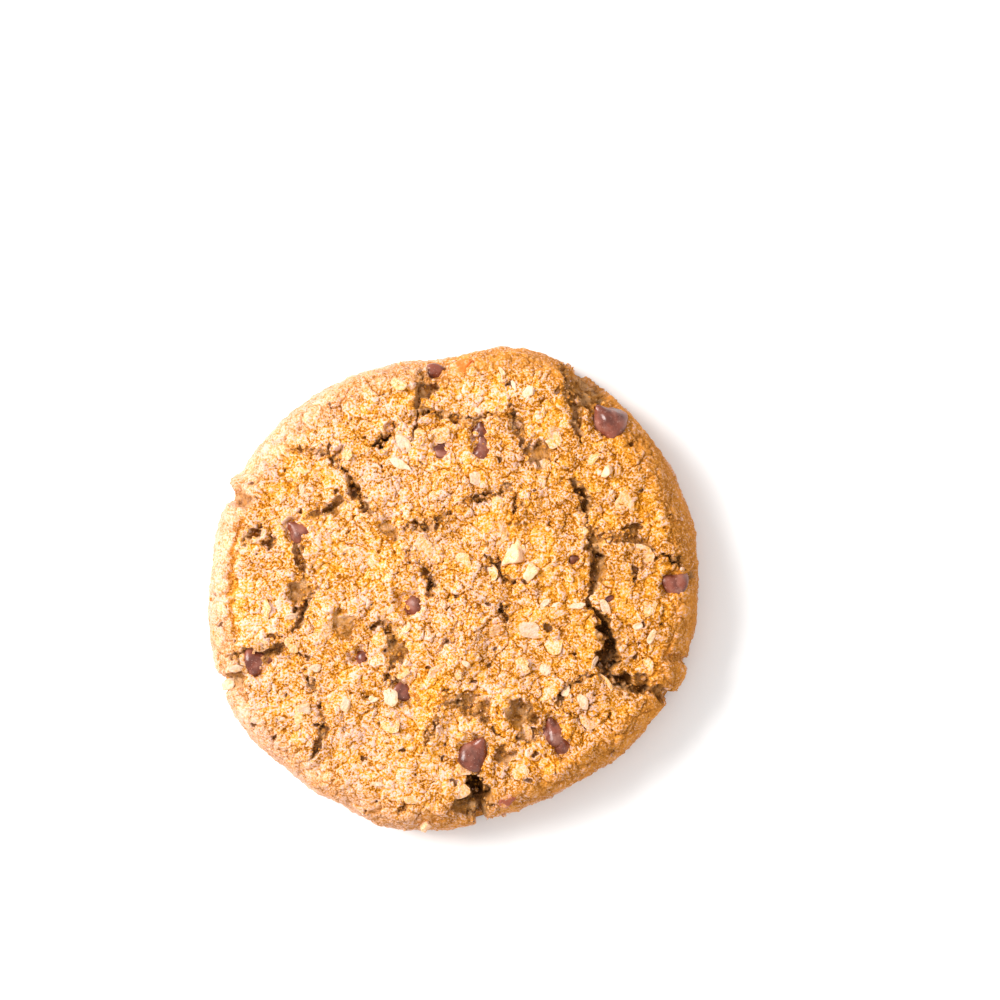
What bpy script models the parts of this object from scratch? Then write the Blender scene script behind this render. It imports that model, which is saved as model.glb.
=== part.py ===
"""A thick round oatmeal cookie: a cracked and craggy top, steep moulded sides and a flat base.

Chocolate chips, nut pieces and oat flakes are baked into the dough, so the cookie is one solid.
Metres, +Z up. The cookie lies on its base at z = 0, and the origin is under the middle of its box.
The tables below hold millimetres, measured in plan from the middle of the dough: x to the right,
y towards the far side.
"""

import math
import random

import bmesh
import bpy
import numpy as np
from mathutils import Matrix, Vector, noise
from mathutils.bvhtree import BVHTree

MM = 0.001

# Radius of the rim, every 15 degrees from +X towards +Y.
RIM_RADII = (
    42.6, 43.3, 43.7, 43.8, 44.6, 44.3, 41.4, 41.4, 42.1, 42.5, 42.9, 42.6,
    42.9, 43.4, 44.0, 42.7, 42.2, 42.3, 41.1, 39.6, 39.5, 40.4, 41.8, 42.5,
)  # fmt: skip
CENTRE_HEIGHT = 16.0
SHOULDER_HEIGHT = 14.2
SHOULDER_RUN = 6.0  # how far the sides lean in between the widest ring and the top
SHOULDER_POWER = 0.72  # under 1 squares the shoulder
WIDEST_HEIGHT = 3.2
BASE_TUCK = 1.3  # how far the sides tuck in below the widest ring
SKIRT = 1.5  # dough built below the base plane, and cut off to leave a flat base

TOP_CELLS = 190
FLANK_RINGS = 34
TUCK_RINGS = 8
BODY_TRIANGLES = 8400

WARP = 0.75  # how far the ragged edges wander from the tabled lines
DEEPEST_AT_RIM = 3.0
LIP = 0.22  # how far the crust curls up beside a crack

# Each crack runs through three points: its start, its middle and its end.
# (x, y), (x, y), (x, y), width, depth
CRACKS = (
    ((-5.8, 39.0), (-6.0, 32.9), (-7.0, 27.1), 1.5, 3.0),
    ((-5.3, 32.7), (0.2, 30.5), (8.1, 31.0), 1.3, 1.6),
    ((10.0, 32.4), (11.0, 29.4), (12.3, 24.7), 1.6, 3.0),
    ((-14.4, 25.7), (-11.6, 27.3), (-9.8, 30.1), 1.4, 3.0),
    ((-28.7, 24.5), (-23.5, 24.5), (-19.6, 22.9), 1.1, 1.3),
    ((-19.6, 22.9), (-17.2, 18.6), (-13.8, 13.3), 1.5, 2.5),
    ((-16.5, 16.6), (-21.7, 14.9), (-26.4, 12.4), 1.9, 1.9),
    ((-26.4, 10.5), (-27.0, 7.2), (-25.6, 2.8), 1.5, 2.1),
    ((-25.9, 2.6), (-26.3, -2.1), (-28.9, -8.2), 1.6, 2.5),
    ((-28.9, -8.2), (-33.1, -10.5), (-39.5, -10.9), 2.4, 3.0),
    ((-36.2, 8.9), (-34.7, 10.5), (-32.9, 12.1), 1.7, 2.5),
    ((-8.9, 12.3), (-4.2, 12.1), (0.2, 14.9), 1.1, 1.4),
    ((1.4, 15.6), (6.3, 17.2), (10.2, 19.1), 1.2, 1.7),
    ((-5.3, 5.4), (-4.2, 2.3), (-3.7, -0.5), 1.4, 2.8),
    ((9.5, 18.0), (10.9, 15.8), (10.3, 13.1), 1.2, 1.9),
    ((20.7, 19.8), (22.9, 15.4), (22.9, 11.9), 1.7, 2.4),
    ((22.9, 11.9), (25.0, 5.4), (23.6, -1.2), 2.3, 2.4),
    ((23.6, -1.2), (27.1, -7.9), (25.9, -14.5), 2.4, 5.0),
    ((23.5, 11.0), (27.0, 9.6), (31.0, 9.6), 1.5, 1.7),
    ((25.9, -14.2), (31.2, -15.6), (38.5, -18.4), 2.2, 3.5),
    ((25.6, -14.2), (20.7, -15.6), (17.9, -20.8), 1.3, 2.0),
    ((31.2, 1.0), (32.6, 4.9), (36.1, 7.0), 1.3, 2.3),
    ((36.1, 7.0), (38.9, 5.4), (42.0, 3.0), 1.3, 2.2),
    ((-2.5, -19.6), (2.1, -19.1), (6.3, -22.6), 2.1, 1.4),
    ((-15.1, -6.0), (-11.0, -6.8), (-11.7, -14.2), 1.8, 2.3),
    ((-11.7, -14.2), (-10.0, -15.9), (-7.4, -19.4), 1.8, 2.3),
    ((-26.1, -13.5), (-24.5, -15.6), (-24.7, -18.2), 1.1, 1.5),
    ((-23.8, -19.3), (-22.6, -23.3), (-25.0, -28.7), 1.4, 2.5),
    ((2.5, -31.0), (4.2, -34.1), (5.3, -40.5), 3.4, 5.5),
    ((-3.2, -20.8), (-3.7, -23.6), (-5.8, -28.0), 1.0, 1.1),
    ((7.7, -0.9), (8.8, -3.5), (8.8, -6.5), 1.1, 1.8),
    ((18.9, 40.5), (21.0, 33.8), (22.0, 26.8), 2.0, 3.5),
    ((5.2, 6.5), (8.0, 3.3), (11.6, 1.8), 1.1, 1.9),
)

# Places where the crust has come away and the rough crumb shows: x, y, radius, depth
HOLLOWS = (
    (-4.6, 35.5, 1.9, 2.0),
    (15.0, 24.2, 2.7, 1.2),
    (-20.5, 24.2, 1.6, 1.0),
    (23.8, 35.6, 3.6, 2.2),
    (-10.9, 11.0, 1.8, 0.8),
    (-26.4, 0.2, 2.3, 1.2),
    (30.8, 9.8, 1.7, 1.5),
    (-10.3, -10.0, 2.3, 1.2),
    (-19.1, -5.1, 2.7, 1.0),
    (3.7, -19.6, 2.5, 1.4),
    (11.6, -20.8, 2.7, 1.4),
    (13.0, -24.9, 1.9, 1.5),
    (8.6, -27.8, 1.7, 1.5),
    (1.9, -37.6, 2.3, 2.0),
    (7.5, 4.7, 1.3, 1.8),
    (33.4, 7.9, 1.6, 1.0),
    (-31.9, 8.8, 1.1, 1.4),
    (-35.7, -11.7, 2.3, 1.8),
    (32.6, -15.6, 2.1, 2.0),
    (26.9, -11.2, 1.9, 3.5),
)

# Bits of the rim that have crumbled away: angle in degrees, width along the rim, depth
RIM_NOTCHES = (
    (156.0, 3.2, 1.6),
    (-158.5, 3.6, 1.9),
    (-25.5, 2.6, 1.6),
    (-83.0, 2.6, 2.2),
    (60.5, 3.0, 1.3),
    (-16.5, 1.8, 0.9),
)

# Dough-covered nuts that swell the top: x, y, length, width, height, turn in degrees
SWELLS = (
    (-4.9, -24.0, 7.5, 3.4, 0.9, 72.0),
    (2.6, -11.5, 9.0, 4.4, 0.9, 48.0),
    (-30.0, 2.0, 8.0, 6.0, 0.5, 80.0),
    (5.0, 1.0, 7.0, 6.0, 0.6, 20.0),
    (28.5, 4.5, 6.0, 5.0, 0.7, 70.0),
    (16.5, 34.0, 9.0, 7.0, 0.5, 10.0),
    (34.0, -6.0, 10.0, 7.0, 0.5, 80.0),
)

# Chocolate chips: x, y, base radius, way the tip points, how far it leans over, height above the crust
CHIPS = (
    (26.6, 30.3, 3.3, 125.0, 55.0, 1.0),
    (4.9, 26.6, 2.7, 90.0, 80.0, -0.9),
    (-2.1, 25.4, 2.0, 75.0, 80.0, -0.9),
    (-27.5, 11.2, 2.4, 140.0, 60.0, -0.2),
    (-33.6, -11.6, 2.9, 10.0, 70.0, -0.2),
    (-16.8, -11.0, 2.0, 160.0, 85.0, -0.9),
    (-8.8, -17.5, 2.3, -45.0, 80.0, -0.1),
    (-7.9, -1.8, 2.6, 160.0, 80.0, -0.9),
    (3.7, -27.3, 3.3, 60.0, 60.0, 0.3),
    (17.2, -23.8, 2.7, 100.0, 60.0, 0.1),
    (19.4, -27.3, 2.2, -60.0, 75.0, 0.0),
    (38.0, 1.9, 2.6, 150.0, 65.0, 0.0),
    (-3.0, 39.0, 2.0, 20.0, 70.0, -0.4),
)
CHIP_HEIGHT = 1.75  # of the base radius

# Nut pieces: x, y, length, width, thickness, turn in degrees, height above the crust
NUTS = (
    (1.1, 39.4, 5.8, 2.8, 2.6, 5.0, 0.3),
    (8.9, -35.9, 4.0, 2.8, 2.6, -20.0, 0.2),
    (10.7, 6.1, 3.4, 2.8, 2.6, 10.0, 0.5),
    (13.5, 3.9, 3.2, 2.7, 2.4, -15.0, 0.5),
    (-5.1, -40.6, 2.8, 2.5, 2.4, 0.0, 0.3),
    (26.6, 21.0, 2.6, 2.2, 2.0, 30.0, 0.4),
)

# The largest oat flakes: x, y, length, width, turn in degrees
FLAKES = (
    (13.7, -6.3, 4.9, 3.2, 15.0),
    (-11.0, -18.0, 3.6, 2.8, 80.0),
    (-25.9, -20.1, 3.8, 2.6, 70.0),
    (22.4, -18.7, 3.0, 2.1, -60.0),
    (-28.4, -3.7, 2.4, 1.6, -20.0),
    (-39.0, -16.4, 2.9, 2.4, 0.0),
    (34.5, -7.4, 3.0, 1.4, -65.0),
    (26.4, -2.5, 3.9, 1.6, -55.0),
    (24.2, -12.1, 3.0, 1.3, -50.0),
    (15.9, -1.6, 2.4, 1.3, 30.0),
    (21.5, -2.1, 2.9, 1.4, 30.0),
    (15.9, -13.1, 2.4, 2.0, 40.0),
    (13.0, 35.0, 2.7, 1.9, -30.0),
    (-9.3, 22.6, 4.4, 1.7, 40.0),
    (-8.8, 26.1, 3.6, 2.4, 30.0),
    (-26.4, 18.0, 2.4, 1.5, 80.0),
    (19.8, -17.2, 2.7, 1.7, 30.0),
    (3.9, 19.8, 3.2, 2.2, 100.0),
    (-38.0, -12.9, 2.7, 1.6, -10.0),
    (-18.9, -19.1, 2.8, 1.9, 20.0),
)
FLAKE_THICKNESS = 0.9

CRUST = (0.62, 0.32, 0.11, 1.0)
CRUST_ROUGHNESS = 0.75


def clear_scene():
    for obj in list(bpy.data.objects):
        bpy.data.objects.remove(obj, do_unlink=True)


def smooth_step(low, high, value):
    share = np.clip((value - low) / (high - low), 0.0, 1.0)
    return share * share * (3.0 - 2.0 * share)


def rim_radius(angle):
    """The rim's radius at each angle in radians, on one smooth curve through RIM_RADII."""
    known = np.array(RIM_RADII)
    place = (angle / (2.0 * math.pi) * len(known)) % len(known)
    at = np.floor(place).astype(int)
    t = place - at
    a, b, c, d = (known[(at + step) % len(known)] for step in (-1, 0, 1, 2))
    curve = 2 * b + (c - a) * t + (2 * a - 5 * b + 4 * c - d) * t**2
    return 0.5 * (curve + (3 * b - a - 3 * c + d) * t**3)


def noise_field(points, scale, offset, octaves=3):
    """Smooth noise from about -1 to 1 at each point, with features scale millimetres wide."""
    shift = Vector((offset, 1.7 * offset, 0.6 * offset))
    return np.array(
        [noise.fractal(Vector(p) / scale + shift, 0.8, 2.0, octaves) for p in points]
    )


def square_to_disc(u, v):
    """Spreads a square grid from -1 to 1 over the unit disc, with cells of equal area."""
    wide = np.abs(u) > np.abs(v)
    with np.errstate(divide="ignore", invalid="ignore"):
        angle = np.where(wide, math.pi / 4 * v / u, math.pi / 2 - math.pi / 4 * u / v)
    radius = np.where(wide, u, v)
    angle = np.where(radius == 0, 0.0, angle)
    return radius * np.cos(angle), radius * np.sin(angle)


def dough_surface():
    """Points, faces and the skirt's loop of the plain dough: a crowned top, rounded shoulder and flanks."""
    count = TOP_CELLS + 1
    line = np.linspace(-1.0, 1.0, count)
    u, v = (g.ravel() for g in np.meshgrid(line, line, indexing="ij"))
    x, y = square_to_disc(u, v)
    share, angle = np.hypot(x, y), np.arctan2(y, x)
    reach = rim_radius(angle) - SHOULDER_RUN
    height = SHOULDER_HEIGHT + (CENTRE_HEIGHT - SHOULDER_HEIGHT) * (1.0 - share**2.2)
    points = [np.stack([x * reach, y * reach, height], axis=1)]

    index = np.arange(count * count).reshape(count, count)
    quads = np.stack([index[:-1, :-1], index[1:, :-1], index[1:, 1:], index[:-1, 1:]], axis=-1)
    faces = [tuple(q) for q in quads.reshape(-1, 4)]
    loop = [*index[:-1, 0], *index[-1, :-1], *index[:0:-1, -1], *index[0, :0:-1]]

    rim_angle = angle[loop]
    rim = rim_radius(rim_angle)
    rings = [shoulder_ring(k / FLANK_RINGS) for k in range(1, FLANK_RINGS + 1)]
    rings += [tuck_ring(k / TUCK_RINGS) for k in range(1, TUCK_RINGS + 1)]
    above = list(loop)
    for inset, z in rings:
        first = count * count + (len(points) - 1) * len(loop)
        radius = rim - inset
        points.append(
            np.stack(
                [radius * np.cos(rim_angle), radius * np.sin(rim_angle), np.full(len(loop), z)],
                axis=1,
            )
        )
        below = list(range(first, first + len(loop)))
        for k in range(len(loop)):
            after = (k + 1) % len(loop)
            faces.append((above[k], below[k], below[after], above[after]))
        above = below
    faces.append(tuple(reversed(above)))
    return np.concatenate(points), faces


def shoulder_ring(share):
    """(inset from the rim, height) on the rounded shoulder, from the top to the widest ring."""
    turn = math.pi / 2 * (1.0 - share)
    inset = SHOULDER_RUN * (1.0 - max(math.cos(turn), 0.0) ** SHOULDER_POWER)
    rise = max(math.sin(turn), 0.0) ** SHOULDER_POWER
    return inset, WIDEST_HEIGHT + (SHOULDER_HEIGHT - WIDEST_HEIGHT) * rise


def tuck_ring(share):
    """(inset from the rim, height) where the sides turn in under the widest ring."""
    turn = math.pi / 2 * share
    drop = (WIDEST_HEIGHT + SKIRT) * share
    return BASE_TUCK * (1.0 - math.cos(turn)), WIDEST_HEIGHT - drop


def quadratic(start, middle, end, count=15):
    """Points on one smooth curve through three given ones."""
    t = np.linspace(0.0, 1.0, count)[:, None]
    a, b, c = (np.array(p) for p in (start, middle, end))
    return a * (1 - t) * (1 - 2 * t) + b * 4 * t * (1 - t) + c * t * (2 * t - 1)


def nearest_on(route, x, y):
    """(distance from a route, share of the way along it) of each plan point."""
    best = np.full(len(x), 1e9)
    along = np.zeros(len(x))
    for k in range(len(route) - 1):
        (ax, ay), (bx, by) = route[k], route[k + 1]
        dx, dy = bx - ax, by - ay
        t = np.clip(((x - ax) * dx + (y - ay) * dy) / (dx * dx + dy * dy), 0.0, 1.0)
        away = np.hypot(x - ax - t * dx, y - ay - t * dy)
        nearer = away < best
        best = np.where(nearer, away, best)
        along = np.where(nearer, (k + t) / (len(route) - 1), along)
    return best, along


def crack_relief(x, y):
    """(depth carved by the cracks, rise of the crust's curled edges) at each plan point."""
    depth, lip = np.zeros(len(x)), np.zeros(len(x))
    for start, middle, end, width, deep in CRACKS:
        away, along = nearest_on(quadratic(start, middle, end), x, y)
        taper = 0.45 + 0.55 * np.sin(math.pi * np.clip(along, 0.0, 1.0))
        half = width / 2 * taper
        depth = np.maximum(depth, deep * taper * (1.0 - smooth_step(0.55, 1.35, away / half)))
        lip = np.maximum(lip, LIP * np.exp(-(((away - 1.6 * half) / 1.1) ** 2)))
    return depth, lip


def hollow_relief(x, y):
    depth = np.zeros(len(x))
    for cx, cy, radius, deep in HOLLOWS:
        away = np.hypot(x - cx, y - cy) / radius
        depth = np.maximum(depth, deep * (1.0 - smooth_step(0.55, 1.2, away)))
    return depth


def notch_relief(x, y):
    depth = np.zeros(len(x))
    angle, radius = np.arctan2(y, x), np.hypot(x, y)
    for degrees, width, deep in RIM_NOTCHES:
        turn = np.angle(np.exp(1j * (angle - math.radians(degrees))))
        away = np.abs(turn) * radius / (width / 2)
        near_rim = smooth_step(SHOULDER_RUN, SHOULDER_RUN / 2, rim_radius(angle) - radius)
        depth = np.maximum(depth, deep * near_rim * (1.0 - smooth_step(0.5, 1.2, away)))
    return depth


def swell_relief(x, y):
    rise = np.zeros(len(x))
    for cx, cy, length, width, high, degrees in SWELLS:
        c, s = math.cos(math.radians(degrees)), math.sin(math.radians(degrees))
        along, across = (x - cx) * c + (y - cy) * s, (y - cy) * c - (x - cx) * s
        away = (2 * along / length) ** 2 + (2 * across / width) ** 2
        rise += high * np.exp(-1.2 * away**1.5)
    return rise


def relief(points):
    """How far each point of the plain dough moves out along its normal, in millimetres."""
    x = points[:, 0] + WARP * noise_field(points, 2.6, 11.0)
    y = points[:, 1] + WARP * noise_field(points, 2.6, 47.0)
    depth, lip = crack_relief(x, y)
    depth = np.maximum(np.maximum(depth, hollow_relief(x, y)), notch_relief(x, y))
    inset = rim_radius(np.arctan2(y, x)) - np.hypot(x, y)
    near_rim = smooth_step(SHOULDER_RUN, 0.5 * SHOULDER_RUN, inset)
    depth = np.minimum(depth, DEEPEST_AT_RIM + (1.0 - near_rim) * 10.0)
    craggy = 0.35 + 0.65 * smooth_step(6.0, 12.0, points[:, 2])
    crags = 0.75 * noise_field(points, 8.5, 3.0, 2) + 0.33 * noise_field(points, 2.4, 29.0, 2)
    above_base = smooth_step(0.0, 5.0, points[:, 2])
    return craggy * crags + lip * near_top(points) + swell_relief(x, y) - depth * above_base


def near_top(points):
    return smooth_step(WIDEST_HEIGHT, SHOULDER_HEIGHT, points[:, 2])


def crust_material():
    material = bpy.data.materials.new("baked_crust")
    material.use_nodes = True
    shader = material.node_tree.nodes["Principled BSDF"]
    shader.inputs["Base Color"].default_value = CRUST
    shader.inputs["Roughness"].default_value = CRUST_ROUGHNESS
    shader.inputs["Metallic"].default_value = 0.0
    return material


def new_object(name, mesh, collection=None):
    obj = bpy.data.objects.new(name, mesh)
    (collection or bpy.context.scene.collection).objects.link(obj)
    return obj


def settle(obj):
    """Replaces an object's mesh by the one that its modifiers make, and drops the modifiers."""
    graph = bpy.context.evaluated_depsgraph_get()
    made = bpy.data.meshes.new_from_object(obj.evaluated_get(graph))
    obj.modifiers.clear()
    obj.data = made


def make_dough():
    """The cracked dough as one closed body, with few faces where it is plain."""
    points, faces = dough_surface()
    mesh = bpy.data.meshes.new("cookie")
    mesh.from_pydata((points * MM).tolist(), [], faces)
    mesh.update()
    normals = np.empty(len(points) * 3, np.float32)
    mesh.vertices.foreach_get("normal", normals)
    moved = points + normals.reshape(-1, 3) * relief(points)[:, None]
    mesh.vertices.foreach_set("co", (moved * MM).astype(np.float32).ravel())
    mesh.update()
    dough = new_object("cookie", mesh)
    full = sum(len(p.vertices) - 2 for p in mesh.polygons)
    soft = dough.modifiers.new("softened edges", "SMOOTH")
    soft.factor = 0.5
    soft.iterations = 2
    fewer = dough.modifiers.new("fewer faces", "DECIMATE")
    fewer.ratio = BODY_TRIANGLES / full
    settle(dough)
    cut_base(dough.data)
    return dough


def cut_base(mesh):
    """Cuts the skirt off along z = 0 and closes the cut with one flat face."""
    shape = bmesh.new()
    shape.from_mesh(mesh)
    everything = shape.verts[:] + shape.edges[:] + shape.faces[:]
    cut = bmesh.ops.bisect_plane(
        shape, geom=everything, dist=1e-7, plane_co=(0, 0, 0), plane_no=(0, 0, 1), clear_inner=True
    )
    rim = [e for e in cut["geom_cut"] if isinstance(e, bmesh.types.BMEdge)]
    bmesh.ops.holes_fill(shape, edges=rim)
    bmesh.ops.recalc_face_normals(shape, faces=shape.faces[:])
    shape.to_mesh(mesh)
    shape.free()


def crust_at(tree, x, y):
    """(point on the crust above a plan position, its normal). Past the rim, the nearest point of the crust."""
    hit, normal, _, _ = tree.ray_cast(Vector((x * MM, y * MM, 0.03)), Vector((0, 0, -1)))
    if hit is None or hit.z < WIDEST_HEIGHT * MM:
        hit, normal, _, _ = tree.find_nearest(Vector((x * MM, y * MM, 0.6 * SHOULDER_HEIGHT * MM)))
    return hit, normal


def upright_on(normal, degrees):
    """A rotation that stands +Z on the crust, leaning halfway towards its slope, turned about +Z."""
    lean = (normal + Vector((0, 0, 1))).normalized()
    return lean.to_track_quat("Z", "Y").to_matrix() @ Matrix.Rotation(math.radians(degrees), 3, "Z")


def chip_shape(radius, rng):
    """A chocolate drop standing on z = 0: a rounded foot, and sides that sweep up to a blunt tip."""
    profile = ((0.75, 0.0), (1.0, 0.3), (0.78, 0.8), (0.34, 1.38))
    shape = bmesh.new()
    sides = 8
    rings = []
    for share, rise in profile:
        ring = []
        for k in range(sides):
            angle = 2 * math.pi * k / sides
            reach = radius * share * rng.uniform(0.94, 1.06)
            ring.append(shape.verts.new((reach * math.cos(angle), reach * math.sin(angle), rise * radius)))
        rings.append(ring)
    tip = shape.verts.new((0, 0, CHIP_HEIGHT * radius))
    shape.faces.new(reversed(rings[0]))
    for low, high in zip(rings, rings[1:]):
        for k in range(sides):
            after = (k + 1) % sides
            shape.faces.new((low[k], low[after], high[after], high[k]))
    for k in range(sides):
        shape.faces.new((rings[-1][k], rings[-1][(k + 1) % sides], tip))
    return shape


def make_chips(tree, collection, rng):
    for k, (x, y, radius, way, lean, above) in enumerate(CHIPS):
        shape = chip_shape(radius, rng)
        bmesh.ops.translate(shape, verts=shape.verts[:], vec=(0, 0, -0.8 * radius))
        turn = Matrix.Rotation(math.radians(way), 3, "Z") @ Matrix.Rotation(math.radians(lean), 3, "Y")
        bmesh.ops.transform(shape, matrix=turn.to_4x4(), verts=shape.verts[:])
        highest = max(v.co.z for v in shape.verts)
        crust, _ = crust_at(tree, x, y)
        lift = level_around(tree, x, y, radius) + (1.0 + above - highest) * MM
        place = Matrix.Translation((crust.x, crust.y, lift)) @ Matrix.Scale(MM, 4)
        bmesh.ops.transform(shape, matrix=place, verts=shape.verts[:])
        add_bit(f"chip_{k}", shape, collection)


def level_around(tree, x, y, radius):
    """The crust's height beside a bit that sits in a crack: a high point of a ring around it."""
    ring = [
        crust_at(tree, x + 1.1 * radius * math.cos(a), y + 1.1 * radius * math.sin(a))[0].z
        for a in np.linspace(0.0, 2.0 * math.pi, 9)[:-1]
    ]
    return sorted(ring)[-3]


def make_nuts(tree, collection, rng):
    for k, (x, y, length, width, thick, degrees, above) in enumerate(NUTS):
        shape = bmesh.new()
        for _ in range(22):
            way = Vector([rng.gauss(0.0, 1.0) for _ in range(3)]).normalized()
            shape.verts.new((way.x * length / 2, way.y * width / 2, way.z * thick / 2))
        hull = bmesh.ops.convex_hull(shape, input=shape.verts[:])
        inside = [v for v in hull["geom_interior"] if isinstance(v, bmesh.types.BMVert)]
        bmesh.ops.delete(shape, geom=inside, context="VERTS")
        crust, normal = crust_at(tree, x, y)
        centre = crust + normal * (above - 0.25 * thick) * MM
        set_down(shape, centre, upright_on(normal, degrees))
        add_bit(f"nut_{k}", shape, collection)


def make_flakes(tree, collection, rng):
    for k, (x, y, length, width, degrees) in enumerate(FLAKES):
        shape = bmesh.new()
        bmesh.ops.create_cone(
            shape, cap_ends=True, segments=9, radius1=0.5, radius2=0.42, depth=FLAKE_THICKNESS
        )
        for v in shape.verts:
            ragged = rng.uniform(0.88, 1.12)
            v.co.x *= length * ragged
            v.co.y *= width * ragged
            v.co.z += 0.06 * math.sin(2.0 * v.co.x) + rng.uniform(-0.05, 0.05)
        crust, normal = crust_at(tree, x, y)
        set_down(shape, crust + normal * 0.02 * MM, upright_on(normal, degrees))
        add_bit(f"flake_{k}", shape, collection)


def set_down(shape, centre, rotation):
    place = Matrix.Translation(centre) @ rotation.to_4x4() @ Matrix.Scale(MM, 4)
    bmesh.ops.transform(shape, matrix=place, verts=shape.verts[:])


def add_bit(name, shape, collection):
    bmesh.ops.recalc_face_normals(shape, faces=shape.faces[:])
    mesh = bpy.data.meshes.new(name)
    shape.to_mesh(mesh)
    shape.free()
    new_object(name, mesh, collection)


def fuse(dough, collection):
    """Joins the chips, nuts and flakes to the dough as one body, and removes them as objects."""
    union = dough.modifiers.new("baked together", "BOOLEAN")
    union.operation = "UNION"
    union.operand_type = "COLLECTION"
    union.collection = collection
    union.solver = "MANIFOLD"
    settle(dough)
    for bit in list(collection.objects):
        bpy.data.objects.remove(bit, do_unlink=True)
    bpy.data.collections.remove(collection)


def keep_outer_body(mesh):
    """Fills what fusing has sealed off: only the shell with the most faces stays."""
    shape = bmesh.new()
    shape.from_mesh(mesh)
    left, shells = set(shape.verts), []
    while left:
        shell, front = set(), [left.pop()]
        while front:
            vert = front.pop()
            shell.add(vert)
            near = {e.other_vert(vert) for e in vert.link_edges} & left
            left -= near
            front.extend(near)
        shells.append(shell)
    outer = max(shells, key=len)
    spare = [v for shell in shells if shell is not outer for v in shell]
    bmesh.ops.delete(shape, geom=spare, context="VERTS")
    bmesh.ops.triangulate(shape, faces=shape.faces[:])
    bmesh.ops.dissolve_degenerate(shape, dist=0.001 * MM, edges=shape.edges[:])
    bmesh.ops.triangulate(shape, faces=shape.faces[:])
    shape.to_mesh(mesh)
    shape.free()


def centre_on_origin(mesh):
    """Moves the cookie so that the origin is under the middle of its box."""
    count = len(mesh.vertices)
    points = np.empty(count * 3, np.float32)
    mesh.vertices.foreach_get("co", points)
    points = points.reshape(-1, 3)
    middle = (points.min(axis=0) + points.max(axis=0)) / 2
    mesh.transform(Matrix.Translation((-middle[0], -middle[1], 0.0)))


def make_cookie():
    rng = random.Random(7)
    dough = make_dough()
    shape = bmesh.new()
    shape.from_mesh(dough.data)
    tree = BVHTree.FromBMesh(shape)
    shape.free()
    bits = bpy.data.collections.new("bits")
    bpy.context.scene.collection.children.link(bits)
    make_chips(tree, bits, rng)
    make_nuts(tree, bits, rng)
    make_flakes(tree, bits, rng)
    fuse(dough, bits)
    keep_outer_body(dough.data)
    centre_on_origin(dough.data)
    dough.data.shade_smooth()
    dough.data.set_sharp_from_angle(angle=math.radians(50))
    dough.data.materials.clear()
    dough.data.materials.append(crust_material())


clear_scene()
make_cookie()
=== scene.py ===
import math
import random

import bmesh
import bpy
import numpy as np
from mathutils import Matrix, Vector, kdtree, noise
from mathutils.bvhtree import BVHTree


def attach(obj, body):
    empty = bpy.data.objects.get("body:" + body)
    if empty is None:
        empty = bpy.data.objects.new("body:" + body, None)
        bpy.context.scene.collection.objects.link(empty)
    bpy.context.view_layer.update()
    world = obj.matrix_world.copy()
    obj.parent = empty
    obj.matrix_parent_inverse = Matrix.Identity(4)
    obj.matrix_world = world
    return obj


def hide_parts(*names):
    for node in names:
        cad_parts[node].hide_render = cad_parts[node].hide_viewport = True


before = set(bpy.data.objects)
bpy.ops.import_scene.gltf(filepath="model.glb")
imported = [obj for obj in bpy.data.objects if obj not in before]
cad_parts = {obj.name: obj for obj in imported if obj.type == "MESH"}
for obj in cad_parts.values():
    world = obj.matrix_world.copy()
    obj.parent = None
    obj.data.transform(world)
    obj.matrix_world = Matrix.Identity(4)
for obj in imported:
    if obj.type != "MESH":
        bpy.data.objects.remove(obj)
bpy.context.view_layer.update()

# Tables and sizes are in millimetres, measured in plan from the middle of the dough:
# x to the right, y towards the far side. Objects are in metres.
MM = 0.001

# The dough's form, as the solid has it
RIM_RADII = (
    42.6, 43.3, 43.7, 43.8, 44.6, 44.3, 41.4, 41.4, 42.1, 42.5, 42.9, 42.6,
    42.9, 43.4, 44.0, 42.7, 42.2, 42.3, 41.1, 39.6, 39.5, 40.4, 41.8, 42.5,
)  # fmt: skip
CENTRE_HEIGHT = 16.0
SHOULDER_HEIGHT = 14.2
SHOULDER_RUN = 6.0
SHOULDER_POWER = 0.72
WIDEST_HEIGHT = 3.2
BASE_TUCK = 1.3
SKIRT = 1.5
WELL_ABOVE = 30.0  # a height that clears the top, for looking down on it

# The dough's mesh: cells across the top, rings down the sides, and the triangles that are kept
TOP_CELLS = 420
FLANK_RINGS = 46
TUCK_RINGS = 10
DOUGH_TRIANGLES = 198000

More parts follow.
